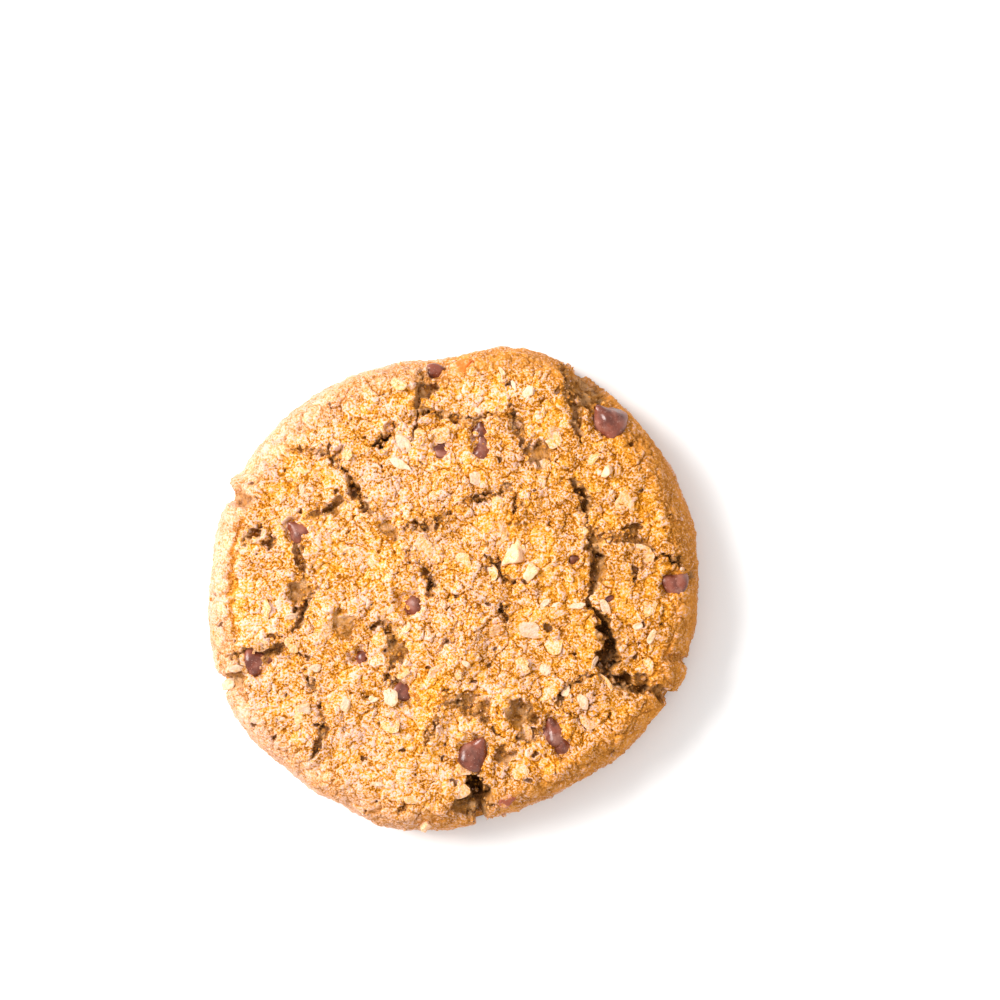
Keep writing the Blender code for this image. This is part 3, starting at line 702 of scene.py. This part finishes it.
def grain_height(finish):
    """Height of the crust's fine grain: rough grains with thin cracks between some of them."""
    lines = (finish.noise(1.5, 3.0, 0.6) - 0.5).absolute().between(0.0, 0.025)
    open_lines = finish.noise(3.0, 2.0).between(0.46, 0.54)
    grains = 1.2 * finish.noise(0.38, 3.0, 0.65) - 0.1 + 0.35 * (finish.noise(1.1, 2.0) - 0.5)
    return grains - (1.0 - lines) * open_lines * 0.14


def crust_colour(finish, tone):
    """Golden crust: amber pits, golden sides and pale tops of the grains as the tone goes from 0 to 1."""
    stops = [(0.26, TOAST), (0.40, AMBER), (0.49, GOLD), (0.545, PEACH), (0.60, CREAM)]
    return finish.node("ShaderNodeValToRGB", {"stops": stops}, {"Fac": tone})


def make_crust():
    """Grainy crust, with a smoother flank, brown crumb in the cracks, dark specks, and painted shade in
    pores and deep hollows and cracks.
    """
    finish = Finish("baked_crust")
    names = ("cavity", "dip", "crack", "pore", "toast", "side")
    cavity, dip, crack, pore, toast, side = (finish.attribute(name) for name in names)

    calm = finish.noise(4.5, 2.0).between(0.45, 0.6)
    grain = 0.52 + (grain_height(finish) - 0.52) * (1.45 - 0.6 * calm)
    patch = finish.noise(7.5, 3.0, 0.6)
    # Hollows (cavity) and wider dips get a lower, more amber tone: partly the darker crust gathered there,
    # partly painted shade.
    tone = grain + cavity * 0.72 + dip * 0.22 + (patch - 0.5) * 0.45
    # Darker near the rim where toasted, and darker to the right as painted shade.
    tone = tone - toast * (0.04 + 0.2 * patch.between(0.4, 0.6))
    # The flank's tone drops the same way, in its hollows and towards the right: partly painted shade, from
    # FLANK_PALE to FLANK_DARK.
    flank_tone = grain + cavity * 0.6 + (patch - 0.5) * 0.4 - toast * 0.6
    flank = finish.mix(flank_tone.between(0.1, 0.58), FLANK_DARK, FLANK_PALE)
    colour = finish.mix(side * 0.85, crust_colour(finish, tone), flank)
    # Painted shade: the deepest hollows of the crust are darkened.
    colour = finish.mix(cavity.between(-0.2, -0.45) * 0.7, colour, DARK_CRUMB_AND_SHADE)

    moist = finish.noise(1.2, 4.0, 0.7)
    crumb = finish.mix(moist.between(0.36, 0.56), DARK_CRUMB_AND_SHADE, CRUMB)
    crumb = finish.mix(finish.noise(2.2, 3.0).between(0.48, 0.64) * 0.8, crumb, CRUMB_PALE)
    colour = finish.mix(crack.between(0.15, 0.65) * 0.88, colour, crumb)
    # Painted shade: deep in the cracks the crumb is darkened further, by depth.
    colour = finish.mix(crack.between(1.5, 3.3) * 0.75, colour, DARK_CRUMB_AND_SHADE)

    # Painted shade: the pores are darkened nearly to black.
    colour = finish.mix(pore.between(0.1, 0.4) * 0.85, colour, PORE_SHADE)
    colour = finish.mix((finish.cells(SPECK_SPACING) < SPECK_RADIUS) * 0.85, colour, SPECK)

    normal = finish.bump(grain, 0.32)
    roughness = 0.34 + 0.2 * finish.noise(0.8).between(0.3, 0.7) + 0.4 * side
    finish.set(Base_Color=colour, Roughness=roughness, Specular_IOR_Level=0.05, Normal=normal)
    return finish.material


def make_chocolate():
    """Satin chocolate with a pale bloom and some dust from the crust."""
    finish = Finish("chocolate")
    bloom = finish.noise(2.4, 3.0, 0.55).between(0.45, 0.72)
    patch = finish.noise(2.0, 3.0).between(0.35, 0.65)
    colour = finish.mix(patch, CHOCOLATE_DARK, CHOCOLATE_LIGHT)
    colour = finish.mix(bloom * 0.45, colour, CHOCOLATE_BLOOM)
    dust = finish.noise(0.35, 3.0, 0.7).between(0.62, 0.7)
    colour = finish.mix(dust * 0.5, colour, CREAM)
    normal = finish.bump(finish.noise(1.6, 3.0, 0.5), 0.16)
    roughness = 0.26 + 0.25 * bloom
    finish.set(Base_Color=colour, Roughness=roughness, Normal=normal)
    return finish.material


def make_oat(name, pale, dark):
    """An oat flake: mottled, darker along its edge, and dusted with crust as its tint says."""
    finish = Finish(name)
    tint = finish.attribute("tint")
    edge = finish.attribute("edge")
    grain = grain_height(finish)
    colour = finish.mix(finish.noise(0.9, 4.0, 0.6).between(0.4, 0.72), pale, dark)
    colour = finish.mix(edge.between(0.8, 1.0) * 0.5, colour, dark)
    colour = finish.mix(tint * 0.8, colour, crust_colour(finish, grain + 0.04))
    normal = finish.bump(grain, 0.3)
    finish.set(Base_Color=colour, Roughness=0.45, Specular_IOR_Level=0.35, Normal=normal)
    return finish.material


def make_nut():
    """Roasted nut in the colour of its tint, with some dough stuck to it."""
    finish = Finish("roasted_nut")
    tint = finish.attribute("tint")
    stops = [(0.0, NUT_AMBER), (0.5, NUT_SKIN), (1.0, NUT_PALE)]
    colour = finish.node("ShaderNodeValToRGB", {"stops": stops}, {"Fac": tint})
    dough = finish.noise(2.0, 4.0, 0.65).between(0.48, 0.6)
    colour = finish.mix(dough * 0.6, colour, crust_colour(finish, grain_height(finish)))
    normal = finish.bump(finish.noise(0.7, 3.0, 0.6), 0.2)
    finish.set(Base_Color=colour, Roughness=0.45, Normal=normal)
    return finish.material


def make_crumb_finish():
    """The crust's colours, from dark to pale as the crumb's tint says."""
    finish = Finish("loose_crumb")
    tint = finish.attribute("tint")
    grain = grain_height(finish)
    colour = crust_colour(finish, grain - 0.22 + 0.26 * tint)
    normal = finish.bump(grain, 0.4)
    finish.set(Base_Color=colour, Roughness=0.45, Specular_IOR_Level=0.35, Normal=normal)
    return finish.material


# Building the pieces

def new_piece(mesh, material):
    """Puts a mesh in the scene as a piece that dresses the cookie."""
    obj = bpy.data.objects.new(mesh.name, mesh)
    bpy.context.scene.collection.objects.link(obj)
    mesh.materials.append(material)
    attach(obj, "root")
    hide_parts("cookie")


def set_attribute(mesh, name, values):
    layer = mesh.attributes.new(name, "FLOAT", "POINT")
    layer.data.foreach_set("value", np.asarray(values, np.float32))


def crust_attributes(points, relief, edges):
    """What the crust's finish reads at each point: how far it stands above its close surroundings,
    and those above their wider ones, how deep in a crack or pore it is, how toasted and shaded, and how
    much it is flank. Toasted near the rim and at the foot; darker to the right and in the crease as painted
    shade."""
    x, y, z = points.T
    near_mean = neighbour_mean(relief["crust"], edges, NEAR_ROUNDS)
    broad_mean = neighbour_mean(near_mean, edges, BROAD_ROUNDS)
    inset = rim_inset(x, y)
    # Toasted near the rim, and weighted towards the right, away from the window, as painted shade.
    toast = 0.35 * smooth_step(9.0, 2.0, inset) * smooth_step(3.0, 11.0, z) * smooth_step(-45.0, 10.0, x)
    # Painted shade: darker towards the right, the side away from the window.
    toast += 0.45 * smooth_step(-15.0, 40.0, x)
    # Toasted at the foot; the darkening in the crease is painted shade.
    toast += 0.6 * smooth_step(3.0, 0.0, z) + 0.9 * relief["crease"]
    return {
        "cavity": relief["crust"] - near_mean,
        "dip": near_mean - broad_mean,
        "crack": relief["crack"],
        "pore": relief["pore"],
        "toast": toast,
        "side": np.maximum(1.0 - smooth_step(8.0, 14.4, z), 0.7 - 0.7 * smooth_step(2.0, 6.0, inset)),
    }


def dough_mesh(rng):
    """The dough's mesh in millimetres about the middle of the dough, with its attributes."""
    points, faces = dough_surface()
    mesh = bpy.data.meshes.new("dough")
    mesh.from_pydata(points.tolist(), [], faces)
    mesh.update()
    normals = np.empty(len(points) * 3, np.float32)
    mesh.vertices.foreach_get("normal", normals)
    edges = np.empty(len(mesh.edges) * 2, np.int32)
    mesh.edges.foreach_get("vertices", edges)

    relief = dough_relief(points, rng)
    moved = points + normals.reshape(-1, 3).astype(float) * relief["move"][:, None]
    moved[:, 2] = np.maximum(moved[:, 2], 0.0)
    moved[points[:, 2] <= 0.0, 2] = 0.0
    mesh.vertices.foreach_set("co", moved.astype(np.float32).ravel())
    for name, values in crust_attributes(points, relief, edges.reshape(-1, 2)).items():
        set_attribute(mesh, name, values)
    return with_fewer_faces(mesh)


def with_fewer_faces(mesh):
    """The same surface with fewer triangles, kept where it is most uneven."""
    obj = bpy.data.objects.new("dough", mesh)
    bpy.context.scene.collection.objects.link(obj)
    fewer = obj.modifiers.new("fewer faces", "DECIMATE")
    fewer.ratio = DOUGH_TRIANGLES / sum(len(p.vertices) - 2 for p in mesh.polygons)
    graph = bpy.context.evaluated_depsgraph_get()
    made = bpy.data.meshes.new_from_object(obj.evaluated_get(graph))
    bpy.data.objects.remove(obj, do_unlink=True)
    made.name = "baked_dough"
    return made


class Crust:
    """The baked surface, for setting things down on it. Places are in millimetres."""

    def __init__(self, mesh):
        points = np.empty(len(mesh.vertices) * 3, np.float32)
        mesh.vertices.foreach_get("co", points)
        faces = [tuple(p.vertices) for p in mesh.polygons]
        self.points = points.reshape(-1, 3)
        self.tree = BVHTree.FromPolygons(self.points.tolist(), faces)

    def at(self, x, y):
        """(the crust's point at x, y, its normal). Past the rim, the nearest point of the flank."""
        hit, normal, _, _ = self.tree.ray_cast(Vector((x, y, WELL_ABOVE)), Vector((0, 0, -1)))
        if hit is None or hit.z < WIDEST_HEIGHT:
            hit, normal, _, _ = self.tree.find_nearest(Vector((x, y, 0.6 * SHOULDER_HEIGHT)))
        return hit, normal

    def level_around(self, x, y, radius):
        """The crust's height beside a bit that sits in a crack: the fourth highest of twelve points
        on a ring around it."""
        reach = 1.25 * radius
        angles = np.linspace(0.0, 2.0 * math.pi, 13)[:-1]
        heights = [self.at(x + reach * math.cos(a), y + reach * math.sin(a))[0].z for a in angles]
        return sorted(heights)[-4]


def upright_on(normal, degrees):
    """A rotation that stands +Z on the crust, leaning halfway towards its slope, turned about +Z."""
    lean = (normal + Vector((0, 0, 1))).normalized()
    return lean.to_track_quat("Z", "Y").to_matrix() @ Matrix.Rotation(math.radians(degrees), 3, "Z")


class Heap:
    """Many small shapes gathered into one mesh, with a float attribute or two for each point."""

    def __init__(self, *names):
        self.points, self.faces = [], []
        self.values = {name: [] for name in names}

    def add(self, points, faces, **values):
        first = len(self.points)
        self.points.extend(points)
        self.faces.extend(tuple(first + i for i in face) for face in faces)
        for name, value in values.items():
            self.values[name].extend([value] * len(points) if np.isscalar(value) else value)

    def mesh(self, name):
        mesh = bpy.data.meshes.new(name)
        mesh.from_pydata([tuple(p) for p in self.points], [], self.faces)
        for attribute, values in self.values.items():
            set_attribute(mesh, attribute, values)
        return mesh


def drop_shape(radius, rng):
    """A chocolate drop standing on z = 0: a rounded foot, and sides that sweep up to a blunt tip."""
    profile = (
        (0.35, 0.0), (0.72, 0.02), (0.93, 0.12), (1.0, 0.3), (0.97, 0.48), (0.88, 0.66), (0.74, 0.85),
        (0.59, 1.05), (0.45, 1.24), (0.33, 1.42), (0.22, 1.57), (0.12, 1.69),
    )  # fmt: skip
    sides = 30
    shift = rng.uniform(0.0, 90.0)
    points = []
    for share, rise in profile:
        for k in range(sides):
            angle = 2 * math.pi * k / sides
            p = Vector((radius * share * math.cos(angle), radius * share * math.sin(angle), rise * radius))
            p *= 1.0 + 0.22 * noise.noise(p / (0.8 * radius) + Vector((shift, 0, 0)))
            points.append(p)
    points.append(Vector((0, 0, 0)))
    points.append(Vector((0, 0, CHIP_HEIGHT * radius)))
    faces = []
    for r in range(len(profile) - 1):
        for k in range(sides):
            after = (k + 1) % sides
            faces.append((r * sides + k, r * sides + after, (r + 1) * sides + after, (r + 1) * sides + k))
    top = (len(profile) - 1) * sides
    for k in range(sides):
        after = (k + 1) % sides
        faces.append((after, k, len(points) - 2))
        faces.append((top + k, top + after, len(points) - 1))
    return points, faces


def make_chips(crust, rng):
    """Drops that lean over in their sockets, up to the crust's level or a little past it."""
    heap = Heap()
    for x, y, radius, way, lean, above in CHIPS:
        points, faces = drop_shape(radius, rng)
        turn = Matrix.Rotation(math.radians(way), 3, "Z") @ Matrix.Rotation(math.radians(lean), 3, "Y")
        points = [turn @ (p - Vector((0, 0, 0.8 * radius))) for p in points]
        highest = max(p.z for p in points)
        spot, _ = crust.at(x, y)
        lift = crust.level_around(x, y, radius) + above - highest
        heap.add([p + Vector((spot.x, spot.y, lift)) for p in points], faces)
    return heap.mesh("chocolate_chips")


def ball(subdivisions):
    """Points and faces of a unit ball."""
    shape = bmesh.new()
    bmesh.ops.create_icosphere(shape, subdivisions=subdivisions, radius=1.0)
    shape.verts.ensure_lookup_table()
    points = [v.co.copy() for v in shape.verts]
    faces = [tuple(v.index for v in f.verts) for f in shape.faces]
    shape.free()
    return points, faces


def chunk(unit, cuts, rng):
    """A unit ball with random flat cuts, like a chopped nut or a broken crumb."""
    planes = []
    for _ in range(cuts):
        normal = Vector([rng.gauss(0, 1) for _ in range(3)]).normalized()
        planes.append((normal, rng.uniform(0.5, 0.85)))
    shift = Vector((rng.uniform(0.0, 90.0), 0, 0))
    points = []
    for p in unit:
        reach = min([1.0] + [distance / max(p.dot(normal), 0.1) for normal, distance in planes])
        points.append(p * reach * (1.0 + 0.12 * noise.noise(2.5 * p + shift)))
    return points


def make_nuts(crust, rng):
    """Chopped pieces, sunk into the crust along its normal."""
    heap = Heap("tint")
    unit, faces = ball(4)
    for x, y, length, width, thick, degrees, above, tint in NUTS:
        spot, normal = crust.at(x, y)
        turn = upright_on(normal, degrees)
        centre = spot + normal * (above - 0.25 * thick)
        stretch = Matrix.Diagonal((0.55 * length, 0.55 * width, 0.55 * thick))
        points = [turn @ stretch @ p + centre for p in chunk(unit, 14, rng)]
        heap.add(points, faces, tint=NUT_TINTS[tint])
    return heap.mesh("nut_pieces")


def flake_shape(length, width, rng):
    """An oat flake: a thin oval that is ragged, gently curled and creased along its middle."""
    rings, sides = 5, 26
    shift = rng.uniform(0.0, 90.0)
    curl = rng.uniform(-0.10, 0.14)
    cut_way, cut = rng.uniform(0.0, 360.0), rng.uniform(0.55, 1.0)
    points, edge = [], []
    for side in (1, -1):
        points.append(Vector((0, 0, side * FLAKE_THICKNESS / 2)))
        edge.append(0.0)
        for r in range(1, rings + 1):
            share = r / rings
            for k in range(sides):
                angle = 2 * math.pi * k / sides
                way = Vector((math.cos(angle), math.sin(angle), 0))
                ragged = 1.0 + 0.22 * noise.noise(1.8 * way + Vector((shift, 0, 0))) * share
                ragged *= min(1.0, cut / max(math.cos(angle - math.radians(cut_way)), 0.1))
                x = 0.5 * length * share * way.x * ragged
                y = 0.5 * width * share * way.y * ragged
                z = curl * (x * x / length - y * y / width) - 0.07 * math.exp(-((y / 0.25) ** 2))
                z += 0.07 * noise.noise(Vector((x, y, shift)))
                z += side * FLAKE_THICKNESS / 2 * max(1.0 - share**7, 0.0) ** 0.5
                points.append(Vector((x, y, z)))
                edge.append(share)
    half = 1 + rings * sides
    faces = []
    for base, flip in ((0, False), (half, True)):
        for k in range(sides):
            after = (k + 1) % sides
            face = [(base, base + 1 + k, base + 1 + after)]
            for r in range(rings - 1):
                near, far = base + 1 + r * sides, base + 1 + (r + 1) * sides
                face.append((near + k, far + k, far + after, near + after))
            faces.extend(tuple(reversed(f)) if flip else f for f in face)
    rim, under = 1 + (rings - 1) * sides, half + 1 + (rings - 1) * sides
    for k in range(sides):
        after = (k + 1) % sides
        faces.append((rim + k, under + k, under + after, rim + after))
    return points, faces, edge


def lay_flake(heap, crust, place, degrees, lift, tint, rng):
    """Adds a flake to the heap. Its place is x, y, length, width."""
    x, y, length, width = place
    points, faces, edge = flake_shape(length, width, rng)
    spot, normal = crust.at(x, y)
    turn = upright_on(normal, degrees)
    tip = Matrix.Rotation(rng.gauss(0.0, 0.12), 3, "X") @ Matrix.Rotation(rng.gauss(0.0, 0.12), 3, "Y")
    heap.add([turn @ (tip @ p) + spot + normal * lift for p in points], faces, tint=tint, edge=edge)


def make_pale_flakes(crust, rng):
    """The flakes of the table, lifted towards the level of the crust around them."""
    heap = Heap("tint", "edge")
    for x, y, length, width, degrees in FLAKES:
        above = crust.level_around(x, y, 0.3 * width) - crust.at(x, y)[0].z
        lift = min(max(above, 0.0), 0.6) + 0.08
        lay_flake(heap, crust, (x, y, length, width), degrees, lift, rng.uniform(0.0, 0.3), rng)
    return heap.mesh("pale_oat_flakes")


def make_toasted_flakes(crust, rng):
    """More flakes, spread at random and sunk in the crust."""
    heap = Heap("tint", "edge")
    for _ in range(TOASTED_FLAKES):
        place = (*spot_on_top(rng, TOASTED_REACH), rng.uniform(2.6, 4.6), rng.uniform(2.0, 3.4))
        degrees, lift, tint = rng.uniform(0.0, 360.0), rng.uniform(-0.35, -0.05), rng.uniform(0.6, 1.0)
        lay_flake(heap, crust, place, degrees, lift, tint, rng)
    return heap.mesh("toasted_oat_flakes")


def crumb_spot(rng, broken_spots):
    """(x, y, in a crack or not) for a crumb: most lie along the cracks, the rest anywhere."""
    if rng.random() < CRUMBS_IN_CRACKS:
        x, y, spread = rng.choice(broken_spots)
        return x + rng.gauss(0.0, spread), y + rng.gauss(0.0, spread), True
    return *spot_on_top(rng, CRUMB_REACH), False


def make_crumbs(crust, rng):
    """Crumbs of two sizes, darker where they lie in a crack."""
    heap = Heap("tint")
    broken_spots = [(x, y, 0.5 * radius) for x, y, radius, _ in HOLLOWS]
    broken_spots += [(x, y, 0.75 * radius) for x, y, radius, *_ in CHIPS] * 2
    for start, middle, end, width, _ in CRACKS:
        broken_spots += [(x, y, 0.55 * width) for x, y in quadratic(start, middle, end)]
    kinds = ((SMALL_CRUMBS, SMALL_CRUMB_RADII, ball(1)), (LARGE_CRUMBS, LARGE_CRUMB_RADII, ball(2)))
    for count, radii, (unit, faces) in kinds:
        for _ in range(count):
            x, y, broken = crumb_spot(rng, broken_spots)
            spot, normal = crust.at(x, y)
            radius = rng.uniform(*radii)
            turn = Vector([rng.gauss(0, 1) for _ in range(3)]).to_track_quat("Z", "Y").to_matrix()
            stretch = Matrix.Diagonal((1.0, rng.uniform(0.6, 1.0), rng.uniform(0.5, 0.9))) * radius
            centre = spot + normal * radius * rng.uniform(-0.5, 0.0)
            points = [turn @ stretch @ p + centre for p in chunk(unit, 6, rng)]
            heap.add(points, faces, tint=rng.uniform(0.2, 0.9) if broken else rng.uniform(0.6, 1.0))
    return heap.mesh("loose_crumbs")


# Setting, light and camera, in metres and watts

FLOOR_SIZE = 3.0
FLOOR_DROP = 0.0002
FLOOR_COLOUR = (0.88, 0.88, 0.88)
WINDOW_PLACE = (-0.52, 0.22, 0.50)
WINDOW_SIZE = 0.42
WINDOW_POWER = 9.5
WINDOW_COLOUR = (1.0, 0.98, 0.96)
ROOM_BRIGHTNESS = 1.01
PHOTO_WIDTH = 0.175  # what the frame spans halfway up the cookie
DOUGH_IN_PHOTO = (454, 593)  # pixel of the dough's middle, in a frame of 1000 by 1000
PHOTO_PIXELS = 1000
LENS = 200.0  # this and the next one in millimetres
SENSOR = 36.0


def make_floor():
    """A plain pale table, just under the base."""
    bpy.ops.mesh.primitive_plane_add(size=FLOOR_SIZE, location=(0.0, 0.0, -FLOOR_DROP))
    floor = bpy.context.object
    floor.name = "floor"
    finish = Finish("pale_table")
    finish.set(Base_Color=FLOOR_COLOUR, Roughness=0.9)
    floor.data.materials.append(finish.material)


def make_window():
    """One large soft light that faces the cookie."""
    light = bpy.data.lights.new("window", "AREA")
    light.size = WINDOW_SIZE
    light.energy = WINDOW_POWER
    light.color = WINDOW_COLOUR
    lamp = bpy.data.objects.new("window", light)
    lamp.location = WINDOW_PLACE
    lamp.rotation_euler = (-Vector(WINDOW_PLACE)).to_track_quat("-Z", "Y").to_euler()
    bpy.context.scene.collection.objects.link(lamp)


def make_room():
    """White light from all around, with colours shown as they are."""
    world = bpy.data.worlds.new("room")
    world.use_nodes = True
    background = world.node_tree.nodes["Background"]
    background.inputs["Color"].default_value = (1.0, 1.0, 1.0, 1.0)
    background.inputs["Strength"].default_value = ROOM_BRIGHTNESS
    bpy.context.scene.world = world
    bpy.context.scene.view_settings.view_transform = "Standard"


def make_camera(middle):
    """Looks straight down, with the dough's middle where the photograph has it."""
    per_pixel = PHOTO_WIDTH / PHOTO_PIXELS
    x = middle.x + (PHOTO_PIXELS / 2 - DOUGH_IN_PHOTO[0]) * per_pixel
    y = middle.y + (DOUGH_IN_PHOTO[1] - PHOTO_PIXELS / 2) * per_pixel
    data = bpy.data.cameras.new("camera")
    data.lens = LENS
    data.sensor_width = SENSOR
    camera = bpy.data.objects.new("camera", data)
    camera.location = (x, y, 0.5 * CENTRE_HEIGHT * MM + PHOTO_WIDTH * LENS / SENSOR)
    bpy.context.scene.collection.objects.link(camera)
    bpy.context.scene.camera = camera


def main():
    rng = random.Random(SEED)
    noise.seed_set(SEED)  # noise_vector would otherwise start from the clock
    dough = dough_mesh(rng)
    crust = Crust(dough)
    meshes = (
        (dough, make_crust(), "crust"),
        (make_chips(crust, rng), make_chocolate(), "chocolate"),
        (make_nuts(crust, rng), make_nut(), "nut"),
        (make_pale_flakes(crust, rng), make_oat("pale_oat", OAT_PALE, OAT_GOLDEN), "oat"),
        (make_toasted_flakes(crust, rng), make_oat("toasted_oat", OAT_TOASTED, GOLD), "oat"),
        (make_crumbs(crust, rng), make_crumb_finish(), "crust"),
    )
    low, high = crust.points.min(axis=0), crust.points.max(axis=0)
    middle = Vector(((low[0] + high[0]) / 2, (low[1] + high[1]) / 2, 0.0))
    into_frame = Matrix.Scale(MM, 4) @ Matrix.Translation(-middle)
    for mesh, material, slot in meshes:
        mesh.transform(into_frame)
        mesh.shade_smooth()
        new_piece(mesh, material)
    make_floor()
    make_window()
    make_room()
    make_camera(-middle * MM)


main()
